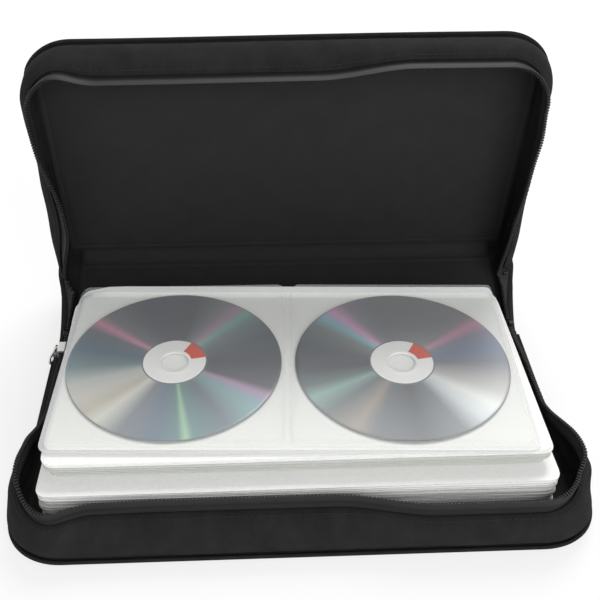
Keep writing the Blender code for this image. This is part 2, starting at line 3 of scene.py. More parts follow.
import math
import random

import bmesh
import bpy
from mathutils import Matrix, Vector, noise


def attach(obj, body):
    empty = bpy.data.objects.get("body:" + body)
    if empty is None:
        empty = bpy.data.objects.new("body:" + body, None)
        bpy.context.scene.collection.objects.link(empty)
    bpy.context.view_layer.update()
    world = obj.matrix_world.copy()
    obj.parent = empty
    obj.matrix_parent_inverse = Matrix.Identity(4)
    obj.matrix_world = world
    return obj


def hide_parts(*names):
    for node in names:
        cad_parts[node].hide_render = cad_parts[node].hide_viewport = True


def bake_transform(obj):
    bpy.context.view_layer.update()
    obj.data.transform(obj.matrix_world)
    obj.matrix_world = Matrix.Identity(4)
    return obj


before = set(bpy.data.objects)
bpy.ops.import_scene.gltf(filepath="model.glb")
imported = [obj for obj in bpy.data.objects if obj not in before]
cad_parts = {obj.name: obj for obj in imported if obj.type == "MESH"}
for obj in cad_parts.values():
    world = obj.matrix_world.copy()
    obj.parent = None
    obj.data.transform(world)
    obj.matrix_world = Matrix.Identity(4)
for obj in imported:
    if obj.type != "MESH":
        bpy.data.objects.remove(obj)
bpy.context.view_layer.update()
MM = 0.001


# Photographer's set. The case lies open on white paper under soft light, seen from the front and
# above. The camera's place and lens were fitted to the outlines of the two 120 mm discs.
bpy.context.scene.view_settings.view_transform = "Standard"

CAMERA_PLACE = Vector((-22.21 * MM, -358.29 * MM, 387.54 * MM))
CAMERA_AZIMUTH = math.radians(-2.697)
CAMERA_HEIGHT = math.radians(38.904)
CAMERA_ROLL = math.radians(0.414)

eyepiece = Vector((math.sin(CAMERA_AZIMUTH) * math.cos(CAMERA_HEIGHT),
                   -math.cos(CAMERA_AZIMUTH) * math.cos(CAMERA_HEIGHT), math.sin(CAMERA_HEIGHT)))
level = Vector((0, 0, 1)).cross(eyepiece).normalized()
upright = eyepiece.cross(level)
frame_right = level * math.cos(CAMERA_ROLL) + upright * math.sin(CAMERA_ROLL)
frame_up = upright * math.cos(CAMERA_ROLL) - level * math.sin(CAMERA_ROLL)


def frame_at(place, across, run, up):
    """A place in space with its three axes."""
    return Matrix.Translation(place) @ Matrix((across, run, up)).transposed().to_4x4()


camera_data = bpy.data.cameras.new("photo_camera")
camera_data.sensor_width = 36
camera_data.lens = 53.57
camera_data.shift_x = 0.0197
camera_data.shift_y = 0.0064
camera_data.clip_start = 0.01
camera = bpy.data.objects.new("photo_camera", camera_data)
camera.matrix_world = frame_at(CAMERA_PLACE, frame_right, frame_up, eyepiece)
bpy.context.scene.collection.objects.link(camera)
bpy.context.scene.camera = camera


def set_inputs(node, **inputs):
    """Sets a shader node's inputs: another node's output is linked, anything else is a value."""
    for name, value in inputs.items():
        socket = node.inputs[name.replace("_", " ")]
        if isinstance(value, bpy.types.NodeSocket):
            node.id_data.links.new(value, socket)
        else:
            socket.default_value = value
    return node


def add_node(tree, node_type, **inputs):
    """A new shader node with some of its inputs set."""
    return set_inputs(tree.nodes.new(node_type), **inputs)


def add_math(tree, operation, first, second):
    """The result of a math node over outputs or numbers."""
    node = tree.nodes.new("ShaderNodeMath")
    node.operation = operation
    for socket, value in zip(node.inputs, (first, second)):
        if isinstance(value, (int, float)):
            socket.default_value = value
        else:
            tree.links.new(value, socket)
    return node.outputs[0]


def new_finish(name, **inputs):
    """A new material, its shader tree and its main shader, with some inputs set."""
    material = bpy.data.materials.new(name)
    material.use_nodes = True
    tree = material.node_tree
    return material, tree, set_inputs(tree.nodes["Principled BSDF"], **inputs)


def add_piece(name, data, finishes, body, place=None, smooth_angle=40):
    """Makes a mesh object from bmesh data and lets it ride on one body of the case."""
    bmesh.ops.recalc_face_normals(data, faces=data.faces)
    mesh = bpy.data.meshes.new(name)
    data.to_mesh(mesh)
    data.free()
    for material in finishes:
        mesh.materials.append(material)
    mesh.shade_smooth()
    mesh.set_sharp_from_angle(angle=math.radians(smooth_angle))
    piece = bpy.data.objects.new(name, mesh)
    bpy.context.scene.collection.objects.link(piece)
    if place is not None:
        piece.matrix_world = place
    if body:
        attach(piece, body)
    return piece


# The studio is white where it is seen, also through the films and in reflections, and lights the
# case at half of that.
world = bpy.data.worlds.new("white_studio")
world.use_nodes = True
bpy.context.scene.world = world
sky = world.node_tree
seen = sky.nodes.new("ShaderNodeLightPath").outputs
white_seen = add_math(sky, "MAXIMUM", seen["Is Camera Ray"], seen["Is Transmission Ray"])
white_shown = add_math(sky, "MAXIMUM", white_seen, seen["Is Glossy Ray"])
sky_level = add_node(sky, "ShaderNodeMapRange", To_Min=0.48, To_Max=1.0, Value=white_shown)
set_inputs(sky.nodes["Background"], Color=(1, 1, 1, 1), Strength=sky_level.outputs["Result"])

paper_finish, paper_tree, paper_shader = new_finish(
    "white_paper_floor", Base_Color=(0.9, 0.9, 0.9, 1), Roughness=0.9, Specular_IOR_Level=0.1)
paper_path = paper_tree.nodes.new("ShaderNodeLightPath")
paper_share = add_math(paper_tree, "MULTIPLY", paper_path.outputs["Is Camera Ray"], 0.75)
paper_mix = add_node(paper_tree, "ShaderNodeMixShader", Fac=paper_share)
paper_tree.links.new(paper_shader.outputs[0], paper_mix.inputs[1])
paper_tree.links.new(paper_tree.nodes.new("ShaderNodeEmission").outputs[0], paper_mix.inputs[2])
set_inputs(paper_tree.nodes["Material Output"], Surface=paper_mix.outputs[0])
paper = bmesh.new()
bmesh.ops.create_grid(paper, x_segments=2, y_segments=2, size=4)
paper_floor = add_piece("paper_floor", paper, [paper_finish], None)

for lamp_name, lamp_place, lamp_power, lamp_size in (
        ("back_softbox", (0.35, 1.15, 1.45), 23.5, 1.0),
        ("front_softbox", (0.4, -1.35, 0.85), 16.0, 1.2)):
    lamp_data = bpy.data.lights.new(lamp_name, "AREA")
    lamp_data.energy = lamp_power
    lamp_data.size = lamp_size
    lamp = bpy.data.objects.new(lamp_name, lamp_data)
    lamp.location = lamp_place
    lamp.rotation_mode = "QUATERNION"
    lamp.rotation_quaternion = Vector(lamp_place).to_track_quat("Z", "Y")
    bpy.context.scene.collection.objects.link(lamp)


# Cover boards of the base, lid and spine. Each is a stiff board wrapped in black woven nylon with
# its edges turned in. The two covers have two round corners each and the spine is a narrow strip.
CASE_WIDTH = 302 * MM
COVER_DEPTH = 164 * MM
SPINE_WIDTH = 67 * MM
CORNER_RADIUS = 29 * MM
BOARD_THICKNESS = 3.2 * MM
HALF_BOARD = BOARD_THICKNESS / 2
BOARD_ROUNDING = 0.9 * MM
FOLD_GAP = 0.4 * MM
SPINE_ANGLE = math.radians(23.5)
LID_ANGLE = math.radians(96.5)
BASE_FOLD = Vector((0, COVER_DEPTH / 2, HALF_BOARD))
LID_FOLD = BASE_FOLD + SPINE_WIDTH * Vector((0, math.cos(SPINE_ANGLE), math.sin(SPINE_ANGLE)))
PLACES = {
    "base": Matrix.Translation(BASE_FOLD),
    "spine": Matrix.Translation(BASE_FOLD) @ Matrix.Rotation(SPINE_ANGLE, 4, "X"),
    "lid": (Matrix.Translation(LID_FOLD) @ Matrix.Rotation(LID_ANGLE - math.pi, 4, "X")
            @ Matrix.Rotation(math.pi, 4, "Y")),
}


def two_tones(tree, pattern, dark, light, start=0.0, end=1.0):
    """A colour that goes from dark to light as a pattern's value goes from start to end."""
    tones = add_node(tree, "ShaderNodeValToRGB", Fac=pattern)
    for element, position, colour in zip(tones.color_ramp.elements, (start, end), (dark, light)):
        element.position = position
        element.color = tuple(colour) + (1,)
    return tones.outputs["Color"]


def cloth_finish(name, colour, pitch, roughness, weave_depth, mottle=0.25):
    """A plain-woven cloth: two crossed bands of yarn as bump, and a slight mottling of its colour.
    The yarns follow each mesh's own cloth attribute, which holds metres along and across it."""
    material, tree, shader = new_finish(name, Roughness=roughness,
                                        Specular_IOR_Level=0.5 - 0.5 * roughness)
    lay = tree.nodes.new("ShaderNodeAttribute")
    lay.attribute_name = "cloth"
    yarns = []
    for direction in ("X", "Y"):
        yarn = add_node(tree, "ShaderNodeTexWave", Scale=2 * math.pi / (20 * pitch), Distortion=0.6,
                        Detail=1.0, Detail_Scale=0.05, Vector=lay.outputs["Vector"])
        yarn.bands_direction = direction
        yarns.append(add_math(tree, "SUBTRACT", yarn.outputs["Fac"], 0.5))
    bump = add_node(tree, "ShaderNodeBump", Strength=0.5, Distance=weave_depth,
                    Height=add_math(tree, "MULTIPLY", *yarns))
    patches = add_node(tree, "ShaderNodeTexNoise", Scale=70.0, Detail=5.0, Roughness=0.7,
                       Vector=lay.outputs["Vector"])
    tones = two_tones(tree, patches.outputs["Fac"], (c * (1 - mottle) for c in colour),
                      (c * (1 + mottle) for c in colour), 0.3, 0.75)
    set_inputs(shader, Base_Color=tones, Normal=bump.outputs["Normal"])
    return material


COVER_NYLON = cloth_finish("black_cover_nylon", (0.0205, 0.0205, 0.0205), 0.9 * MM, 0.9, 0.2 * MM)


def smooth_ramp(value, start, end):
    """0 before start, 1 past end, smooth between."""
    share = min(1.0, max(0.0, (value - start) / (end - start)))
    return share * share * (3 - 2 * share)


def ramp_mm(value, start, end):
    """A smooth ramp between two ends in millimetres."""
    return smooth_ramp(value, start * MM, end * MM)


def settled(cover, point):
    """Where use has moved a point of a soft cover, in the cover's own hinge frame: the lid's free edge
    has sagged at its left, and the base has spread at the floor and drawn in along its sides."""
    x, y, z = point
    right = x > 0
    side = 1 if right else -1
    outer = ramp_mm(abs(x), 100, 148) * MM
    if cover == "lid":
        free = ramp_mm(-y, 50, 162) * MM
        ear = ramp_mm(-y, 106, 134) * ramp_mm(z, 8, 24)
        point_out = ramp_mm(-y, 128, 152) * (1 - ramp_mm(z, 5, 14))
        flank = ramp_mm(z, 6, 16) * (1 - ramp_mm(-y, 22, 55))
        hollow = ramp_mm(-y, 66, 96) * (1 - ramp_mm(-y, 112, 138))
        out = 1.3 * point_out - 1.6 * ramp_mm(-y, 70, 110)
        out += 1.4 * flank - 0.8 * ear - 0.5 * hollow if right else 1.9 * flank - 2.6 * ear
        return Vector((x + side * outer * out, y + (1.5 + 1.9 * ramp_mm(x, -90, 130)) * free, z))
    spread = ramp_mm(-y, 112, 140) * (1 - ramp_mm(z, 2, 12))
    high = ramp_mm(z, 6, 18)
    fold_end = (1 - ramp_mm(-y, 16, 46)) * ramp_mm(z, 2, 8)
    waist = ramp_mm(-y, -30, 6) * (1 - ramp_mm(-y, 95, 122)) * (1 - ramp_mm(z, 3, 9))
    y -= 2.4 * MM * ramp_mm(-y, 118, 160) * (1 - ramp_mm(z, 10, 27))
    z -= (1.3 + 1.9 * ramp_mm(-x, 70, 125)) * MM * ramp_mm(z, 18, 32) * ramp_mm(-y, 136, 154)
    if right:
        move = 3.0 * spread - 1.7 * fold_end - 5.2 * high * ramp_mm(-y, 129, 147) - 2.5 * waist
    else:
        move = (0.8 * fold_end - 1.7 * spread + 1.8 * high * ramp_mm(-y, 102, 118)
                + 2.4 * high * ramp_mm(-y, 130, 147) + 1.5 * waist)
    return Vector((x + outer * move, y, z))


def arc(centre, radius, start, end, steps):
    """Points on an arc, angles in degrees."""
    angles = [math.radians(start + (end - start) * step / steps) for step in range(steps + 1)]
    return [(centre[0] + radius * math.cos(a), centre[1] + radius * math.sin(a)) for a in angles]


def cover_outline(inset, back=-(HALF_BOARD + FOLD_GAP)):
    """A cover's plan: square at the fold, round at its two front corners. Its sides are cut up so
    that they can bend."""
    radius = CORNER_RADIUS - inset
    side = CASE_WIDTH / 2 - inset
    front = -COVER_DEPTH + inset
    cuts = [share / 12 for share in range(12)]
    left_side = [(-side, back + (front + radius - back) * share) for share in cuts]
    right_side = [(side, front + radius + (back - front - radius) * share) for share in cuts[1:]]
    front_edge = [((2 * share - 1) * (side - radius), front) for share in cuts[1:]]
    return ([(side, back)] + left_side + arc((-side + radius, front + radius), radius, 180, 270, 14)
            + front_edge + arc((side - radius, front + radius), radius, 270, 360, 14) + right_side)


def join_grid(data, strips):
    """Faces between strips of points that lie side by side."""
    for near, far in zip(strips, strips[1:]):
        for row in range(len(near) - 1):
            data.faces.new((near[row], far[row], far[row + 1], near[row + 1]))


def join_rings(data, loops):
    """Faces round a closed body through rings of points, and over its two ends."""
    join_grid(data, [loop + loop[:1] for loop in loops])
    data.faces.new(loops[0])
    data.faces.new(loops[-1])


def stacked_rings(rings):
    """A closed body through rings of points with equal counts; its cloth attribute is its plan."""
    data = bmesh.new()
    lay = data.verts.layers.float_vector.new("cloth")
    loops = []
    for ring in rings:
        loop = [data.verts.new(point) for point in ring]
        for vertex in loop:
            vertex[lay] = vertex.co
        loops.append(loop)
    join_rings(data, loops)
    return data


def wrapped_board(cover, outline, rounding, crown):
    """Rings of a board with rounded edges, whose outer face is padded by crown at its middle."""
    edge = [(rounding * (1 - math.cos(math.radians(turn))), math.radians(turn))
            for turn in (90, 60, 30, 0)]
    flat = HALF_BOARD - rounding
    rings = [(rounding + 4 * MM, HALF_BOARD)]
    rings += [(inset, flat + rounding * math.sin(turn)) for inset, turn in edge]
    rings += [(inset, -flat - rounding * math.sin(turn)) for inset, turn in reversed(edge)]
    rings += [(6 * MM, -HALF_BOARD - crown * 0.4), (14 * MM, -HALF_BOARD - crown * 0.8),
              (26 * MM, -HALF_BOARD - crown)]
    return stacked_rings([[settled(cover, (x, y, z)) for x, y in outline(inset)]
                          for inset, z in rings])


def long_strip(half_length, start, end):
    """The corners of a strip, with its long sides cut up so that it can follow its neighbours."""
    cuts = 24
    steps = [half_length - 2 * half_length * cut / cuts for cut in range(cuts + 1)]
    return [(x, end) for x in steps] + [(-x, start) for x in steps]


def spine_outline(inset):
    start = min(inset, 14 * MM) - HALF_BOARD
    return long_strip(CASE_WIDTH / 2 - min(inset, 14 * MM), start, SPINE_WIDTH - start)


for panel, outline, rounding, crown in (("base", cover_outline, BOARD_ROUNDING, 0.0),
                                        ("lid", cover_outline, BOARD_ROUNDING, 1.2 * MM),
                                        ("spine", spine_outline, HALF_BOARD, 0.3 * MM)):
    board = add_piece(panel + "_board", wrapped_board(panel, outline, rounding, crown),
                      [COVER_NYLON], panel, PLACES[panel])
    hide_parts(panel + "_panel")


# Linings. A smoother black cloth is glued over the inside of each board, with its hem turned
# under a few millimetres in from the edge.
LINING_INSET = 5 * MM
LINING_FOOT = HALF_BOARD + 0.3 * MM
LINING_THICKNESS = 0.8 * MM
LINING_START = LINING_FOOT + LINING_THICKNESS + 0.3 * MM + LINING_INSET
SPINE_LINING_INSET = 11.2 * MM
LINING_CLOTH = cloth_finish("black_lining_cloth", (0.026, 0.026, 0.0265), 0.5 * MM, 0.85, 0.1 * MM,
                            mottle=0.1)


def lining_rings(outline):
    """Rings of a thin sheet with a softly rounded hem; its face dips slightly inside the hem."""
    top = LINING_FOOT + LINING_THICKNESS
    profile = ((3 * MM, LINING_FOOT), (0.3 * MM, LINING_FOOT), (0, LINING_FOOT + 0.3 * MM),
               (0.1 * MM, top - 0.2 * MM), (0.5 * MM, top), (3 * MM, top),
               (3.6 * MM, top - 0.35 * MM), (4.6 * MM, top - 0.1 * MM), (8 * MM, top))
    return stacked_rings([[Vector((x, y, z)) for x, y in outline(inset)] for inset, z in profile])


def cover_lining_outline(inset):
    return cover_outline(LINING_INSET + inset, -LINING_START - inset)


def spine_lining_outline(inset):
    start = LINING_START + inset
    return long_strip(CASE_WIDTH / 2 - SPINE_LINING_INSET - inset, start, SPINE_WIDTH - start)


COVER_LINING_CUT = (CASE_WIDTH - 2 * LINING_INSET, COVER_DEPTH - LINING_INSET - LINING_START)
SPINE_LINING_CUT = (CASE_WIDTH - 2 * SPINE_LINING_INSET, SPINE_WIDTH - 2 * LINING_START)

for panel, outline, cut in (("base", cover_lining_outline, COVER_LINING_CUT),
                            ("lid", cover_lining_outline, COVER_LINING_CUT),
                            ("spine", spine_lining_outline, SPINE_LINING_CUT)):
    lining = add_piece(panel + "_lining_cloth", lining_rings(outline), [LINING_CLOTH], panel,
                       PLACES[panel])
    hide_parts(panel + "_lining")


# Gusset walls. A soft band of the cover cloth is sewn round three sides of each cover. It stands
# up and bulges at the front corners, slumps inward at the front and has gone slack at the sides.
SEAT_GAP = 0.3 * MM
GUSSET_THICKNESS = 1.5 * MM
BULGE_DROOP = 0.75
TAPE_EXPOSED = 8 * MM
TAPE_UPRIGHT = 6 * MM
CORNER_FLARE = 1 * MM
SLUMP_LEFT = (-138 * MM, -106 * MM)
SLUMP_RIGHT = (15 * MM, 68 * MM)
REAR_RIM_SLOPE = math.tan(math.radians(1.9))
SLACK_FRONT = 128 * MM
SLACK_REAR = 74 * MM
WALLS = {
    "base": {"rear_rim": 14.5 * MM, "side_lean": 5.2 * MM, "front_lean": 6.8 * MM,
             "bulge": 4.6 * MM, "left": -1},
    "lid": {"rear_rim": 31 * MM, "side_lean": 3.0 * MM, "front_lean": 5.2 * MM,
            "bulge": 3.2 * MM, "left": 1},
}
LID_TUCK = 7 * MM
PINCH = 2.4 * MM
WALL_COLUMNS = 260
WALL_FOOT = HALF_BOARD + SEAT_GAP
WALL_BACK = -(HALF_BOARD + 2 * FOLD_GAP)
FULL_RIM = SPINE_WIDTH / 2 - 0.8 * MM
SIDE_RUN = COVER_DEPTH - CORNER_RADIUS + WALL_BACK
ARC_RUN = CORNER_RADIUS * math.pi / 2
FRONT_RUN = CASE_WIDTH - 2 * CORNER_RADIUS
SEAM_LENGTH = 2 * SIDE_RUN + 2 * ARC_RUN + FRONT_RUN


def seam_place(along):
    """Plan point and outward direction along the seam, from the left back end to the right one."""
    corner = Vector((CASE_WIDTH / 2 - CORNER_RADIUS, -COVER_DEPTH + CORNER_RADIUS))
    if along <= SIDE_RUN:
        return Vector((-CASE_WIDTH / 2, WALL_BACK - along)), Vector((-1, 0))
    if along < SIDE_RUN + ARC_RUN:
        turn = math.pi + (along - SIDE_RUN) / CORNER_RADIUS
        outward = Vector((math.cos(turn), math.sin(turn)))
        return Vector((-corner.x, corner.y)) + outward * CORNER_RADIUS, outward
    if along <= SIDE_RUN + ARC_RUN + FRONT_RUN:
        return Vector((-corner.x + along - SIDE_RUN - ARC_RUN, -COVER_DEPTH)), Vector((0, -1))
    if along < SEAM_LENGTH - SIDE_RUN:
        turn = 1.5 * math.pi + (along - SIDE_RUN - ARC_RUN - FRONT_RUN) / CORNER_RADIUS
        outward = Vector((math.cos(turn), math.sin(turn)))
        return corner + outward * CORNER_RADIUS, outward
    return Vector((CASE_WIDTH / 2, WALL_BACK - SEAM_LENGTH + along)), Vector((1, 0))


def slackness(along):
    """How far a side has gone slack: 0 at the front corners, 1 beside the pages."""
    place, outward = seam_place(along)
    return smooth_ramp(place.y, -SLACK_FRONT, -SLACK_REAR) if abs(outward.x) == 1 else 0.0


def rim_height(cover, along):
    """Height of the zip row's top over the fold line."""
    rear = WALLS[cover]["rear_rim"] + (WALL_BACK - seam_place(along)[0].y) * REAR_RIM_SLOPE
    return FULL_RIM + (min(rear, FULL_RIM) - FULL_RIM) * slackness(along)


def tuck(cover, place):
    """How far the lid's rim has tucked in beside each fold: to the very end on the right, and in a
    hollow half way up on the left."""
    if cover != "lid" or abs(place.x) < CASE_WIDTH / 2 - 1 * MM:
        return 0.0
    if place.x < 0:
        return LID_TUCK * (1 - ramp_mm(-place.y, -12, 86))
    return LID_TUCK * ramp_mm(-place.y, 4, 48) * (1 - ramp_mm(-place.y, 58, 108))


def wall_face(cover, along, height):
    """A point of a wall's outer face, before the cover settled."""
    wall = WALLS[cover]
    place, outward = seam_place(along)
    rim = rim_height(cover, along)
    across = -place.x * wall["left"]
    slump = smooth_ramp(across, *SLUMP_LEFT) * (1 - smooth_ramp(across, *SLUMP_RIGHT))
    lean = (-CORNER_FLARE + (wall["side_lean"] + CORNER_FLARE) * slackness(along)
            + (wall["front_lean"] + CORNER_FLARE) * slump)
    share = max(0.0, (height - WALL_FOOT) / (rim - WALL_FOOT)) ** BULGE_DROOP
    firmness = ((rim - WALL_FOOT) / (FULL_RIM - WALL_FOOT)) ** 2
    pinched = math.exp(-((height - rim + TAPE_EXPOSED) / (3 * MM)) ** 2) * (1 - slackness(along))
    out = (-SEAT_GAP + firmness * wall["bulge"] * 16 * (share * (1 - share)) ** 2 - PINCH * pinched
           - lean * smooth_ramp(height, WALL_FOOT + GUSSET_THICKNESS, rim - TAPE_UPRIGHT)
           - tuck(cover, place) * smooth_ramp(height, rim - 15 * MM, rim - 3 * MM))
    plan = place + outward * out
    return Vector((plan.x, plan.y, height))


def wall_point(cover, along, height, inset):
    """A point set in from a wall's outer face, square to the cloth."""
    reach = 0.1 * MM
    run = wall_face(cover, along + reach, height) - wall_face(cover, along - reach, height)
    rise = wall_face(cover, along, height + reach) - wall_face(cover, along, height - reach)
    return settled(cover, wall_face(cover, along, height) - run.cross(rise).normalized() * inset)


def wall_pucker(along, height, foot, rim):
    """Small folds of the cloth: gathers at the seam and long soft creases where a side is slack."""
    gather = math.sin(along / (2.2 * MM)) * math.exp(-(height - foot) / (2.5 * MM))
    crease = noise.noise(Vector((along * 28, height * 60, 3.1)))
    hold = (smooth_ramp(height, foot, foot + 4 * MM)
            * (1 - smooth_ramp(height, rim - 11 * MM, rim - 6 * MM)))
    return 0.12 * MM * gather + 0.75 * MM * crease * hold


def cloth_band(name, body, place, columns, rows, point_at, finish):
    """A band of cloth with two skins, outer 0 and inner 1. For a skin, a share of the band's length
    and a row, point_at gives the point and the metres along and across the cloth."""
    data = bmesh.new()
    lay = data.verts.layers.float_vector.new("cloth")
    skins = []
    for skin in (0, 1):
        strips = []
        for column in range(columns + 1):
            strip = []
            for row in range(rows + 1):
                point, metres = point_at(skin, column / columns, row)
                vertex = data.verts.new(point)
                vertex[lay] = metres
                strip.append(vertex)
            strips.append(strip)
        skins.append(strips)
    outer, inner = skins
    for strips in (outer, inner, (outer[0], inner[0]), (outer[-1], inner[-1])):
        join_grid(data, strips)
    for row in (0, -1):
        join_grid(data, [[strip[row] for strip in skin] for skin in skins])
    return add_piece(name, data, [finish], body, place, smooth_angle=60)


def wall_band(name, cover, low, high, inset, thickness, rows, finish, pucker):
    """A soft band bent to a wall between two heights, with rounded long edges."""
    def point_at(skin, run, row):
        along = SEAM_LENGTH * run
        foot, head = low(along), high(along)
        height = foot + (head - foot) * row / rows
        edge = 0.35 * thickness if row in (0, rows) else 0.0
        depth = inset + (thickness - edge if skin else edge)
        if pucker:
            depth -= wall_pucker(along, height, foot, rim_height(cover, along))
        return wall_point(cover, along, height, depth), (along, height, 0)

    return cloth_band(name, cover, PLACES[cover], WALL_COLUMNS, rows, point_at, finish)


for cover in WALLS:
    band = wall_band(cover + "_wall_cloth", cover, lambda along: WALL_FOOT,
                     lambda along: rim_height(cover, along) - TAPE_EXPOSED, 0, GUSSET_THICKNESS,
                     14, COVER_NYLON, True)
    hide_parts(cover + "_gusset")


# Zip tapes. A satin-faced tape is sewn inside the top of each wall and stands 8 mm above it.
TAPE_THICKNESS = 0.9 * MM
TAPE_HIDDEN = 4 * MM
TOOTH_HEIGHT = 1.6 * MM
ROW_INSET = GUSSET_THICKNESS + 2 * SEAT_GAP + TAPE_THICKNESS / 2
SATIN_TAPE = cloth_finish("black_satin_tape", (0.02, 0.02, 0.021), 0.6 * MM, 0.6, 0.08 * MM,
                          mottle=0.12)
TAPE_LEAN_RISE = 1.6 * MM


def row_hidden(along):
    """1 along the front, where the tape's edge leans in over its teeth, and 0 along the sides."""
    return smooth_ramp(abs(seam_place(along)[1].y), 0.75, 1.0)


for cover in WALLS:
    tape = wall_band(cover + "_tape_cloth", cover,
                     lambda along: max(rim_height(cover, along) - TAPE_EXPOSED - TAPE_HIDDEN,
                                       WALL_FOOT + 2 * GUSSET_THICKNESS),
                     lambda along: (rim_height(cover, along) - TOOTH_HEIGHT - 0.1 * MM
                                    + TAPE_LEAN_RISE * row_hidden(along)),
                     GUSSET_THICKNESS + 2 * SEAT_GAP, TAPE_THICKNESS, 8, SATIN_TAPE, False)
    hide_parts(cover + "_zip_tape")


# Zip teeth. A nylon coil is woven along the edge of each tape: seen up close it is a row of
# small rounded teeth, each a loop standing across the tape's edge.
TOOTH_PITCH = 1.9 * MM
TOOTH_WIDTH = 2.4 * MM
TOOTH_LENGTH = 1.1 * MM
TOOTH_ROUNDING = 0.32 * MM
FIRST_TOOTH = 4 * MM
LEAN_IN = 0.8 * MM
LEAN_DOWN = 1.3 * MM


def plain_finish(name, colour, roughness, metallic=0.0, grain=0.02 * MM, grain_size=2000.0,
                 specular=0.5, alpha=1.0):
    """A finish with a fine grain in its surface, for plastic, metal or card."""
    material, tree, shader = new_finish(name, Metallic=metallic, Specular_IOR_Level=specular,
                                        Alpha=alpha)
    place = tree.nodes.new("ShaderNodeTexCoord").outputs["Object"]
    speckle = add_node(tree, "ShaderNodeTexNoise", Scale=grain_size, Detail=4.0,
                       Vector=place).outputs["Fac"]
    tones = two_tones(tree, speckle, (c * 0.88 for c in colour), (min(1.0, c * 1.1) for c in colour))
    rough = add_node(tree, "ShaderNodeMapRange", To_Min=max(0.02, roughness - 0.08),
                     To_Max=roughness + 0.08, Value=speckle)
    bump = add_node(tree, "ShaderNodeBump", Strength=0.3, Distance=grain, Height=speckle)
    set_inputs(shader, Base_Color=tones, Roughness=rough.outputs["Result"],
               Normal=bump.outputs["Normal"])
    return material


COIL_NYLON = plain_finish("black_coil_nylon", (0.012, 0.012, 0.012), 0.45, specular=0.2)


def add_tooth(data, place):
    """Adds a tooth, a small block with rounded edges, to bmesh data."""
    made = bmesh.ops.create_cube(data, size=1)
    bmesh.ops.scale(data, vec=(TOOTH_WIDTH, TOOTH_LENGTH, TOOTH_HEIGHT), verts=made["verts"])
    edges = list({edge for vertex in made["verts"] for edge in vertex.link_edges})
    beveled = bmesh.ops.bevel(data, geom=edges, offset=TOOTH_ROUNDING, segments=1, affect="EDGES")
    moved = {vertex for face in beveled["faces"] for vertex in face.verts}
    moved.update(vertex for vertex in made["verts"] if vertex.is_valid)
    bmesh.ops.transform(data, matrix=place, verts=list(moved))


def row_frame(cover, along):
    """Place of a tooth in a zip row: X across the row, Y along it, Z up."""
    middle = wall_point(cover, along, rim_height(cover, along), ROW_INSET)
    ahead = wall_point(cover, along + 1 * MM, rim_height(cover, along + 1 * MM), ROW_INSET)
    run = (ahead - middle).normalized()
    across = run.cross(Vector((0, 0, 1))).normalized()
    up = across.cross(run)
    return frame_at(middle - up * TOOTH_HEIGHT / 2, across, run, up)


for cover in WALLS:
    teeth = bmesh.new()
    for number in range(int((SEAM_LENGTH - 2 * FIRST_TOOTH) / TOOTH_PITCH)):
        along = FIRST_TOOTH + number * TOOTH_PITCH
        hidden = row_hidden(along)
        behind_tape = Matrix.Translation((-LEAN_IN * hidden, 0, -LEAN_DOWN * hidden))
        add_tooth(teeth, row_frame(cover, along) @ behind_tape)
    row = add_piece(cover + "_coil_teeth", teeth, [COIL_NYLON], cover, PLACES[cover])
    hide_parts(cover + "_zip_teeth")


def finish_solid(node, material):
    """Gives one of the solids its finish. The solid keeps its shape."""
    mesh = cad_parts[node].data
    mesh.materials.clear()
    mesh.materials.append(material)
    return mesh


for stop in ("base_zip_stop_left", "base_zip_stop_right", "lid_zip_stop_left", "lid_zip_stop_right"):
    finish_solid(stop, COIL_NYLON)


# Piping. A cord wrapped in binding is caught in the seam along three sides of each cover.
PIPING_RADIUS = 1.1 * MM
PIPING_CLOTH = cloth_finish("black_piping_cloth", (0.022, 0.022, 0.022), 0.7 * MM, 0.9, 0.2 * MM)

for cover in WALLS:
    cord_wrap = bmesh.new()
    lay = cord_wrap.verts.layers.float_vector.new("cloth")
    sides, steps = 10, 240
    loops = []
    for step in range(steps + 1):
        along = SEAM_LENGTH * step / steps
        place, outward = seam_place(along)
        centre = place + outward * (PIPING_RADIUS + SEAT_GAP)
        loop = []
        for side in range(sides):
            turn = 2 * math.pi * side / sides
            reach = PIPING_RADIUS * math.cos(turn)
            height = HALF_BOARD - SEAT_GAP + PIPING_RADIUS * math.sin(turn)
            point = cord_wrap.verts.new(settled(cover, (centre.x + outward.x * reach,
                                                        centre.y + outward.y * reach, height)))
            point[lay] = (along + PIPING_RADIUS * turn, PIPING_RADIUS * turn - along, 0)
            loop.append(point)
        loops.append(loop)
    join_rings(cord_wrap, loops)
    piping = add_piece(cover + "_piping_cord", cord_wrap, [PIPING_CLOTH], cover, PLACES[cover])
    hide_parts(cover + "_piping")


# Topstitching. One row of black thread runs 2 mm under the edge of each wall. It goes through the
# wall and the tape sewn inside it.
STITCH_LENGTH = 2.4 * MM
STITCH_PITCH = 3.3 * MM
THREAD_RADIUS = 0.22 * MM
STITCH_DROP = 1.8 * MM
FIRST_STITCH = 2 * MM
THREAD = plain_finish("black_thread", (0.022, 0.022, 0.022), 0.6, specular=0.15)


def thread_stitch(data, start, end, lift):
    """Adds one stitch: a thread that dives into the cloth at both ends."""
    run = end - start
    side = run.normalized().cross(lift).normalized()
    sections = []
    for share, rise, radius in ((0, -0.15, 0.5), (0.15, 0.5, 1), (0.5, 0.75, 1.1), (0.85, 0.5, 1),
                                (1, -0.15, 0.5)):
        centre = start + run * share + lift * THREAD_RADIUS * rise
        loop = []
        for step in range(6):
            turn = math.pi * step / 3
            loop.append(data.verts.new(centre + (side * math.cos(turn) + lift * math.sin(turn))
                                       * THREAD_RADIUS * radius))
        sections.append(loop)
    join_rings(data, sections)


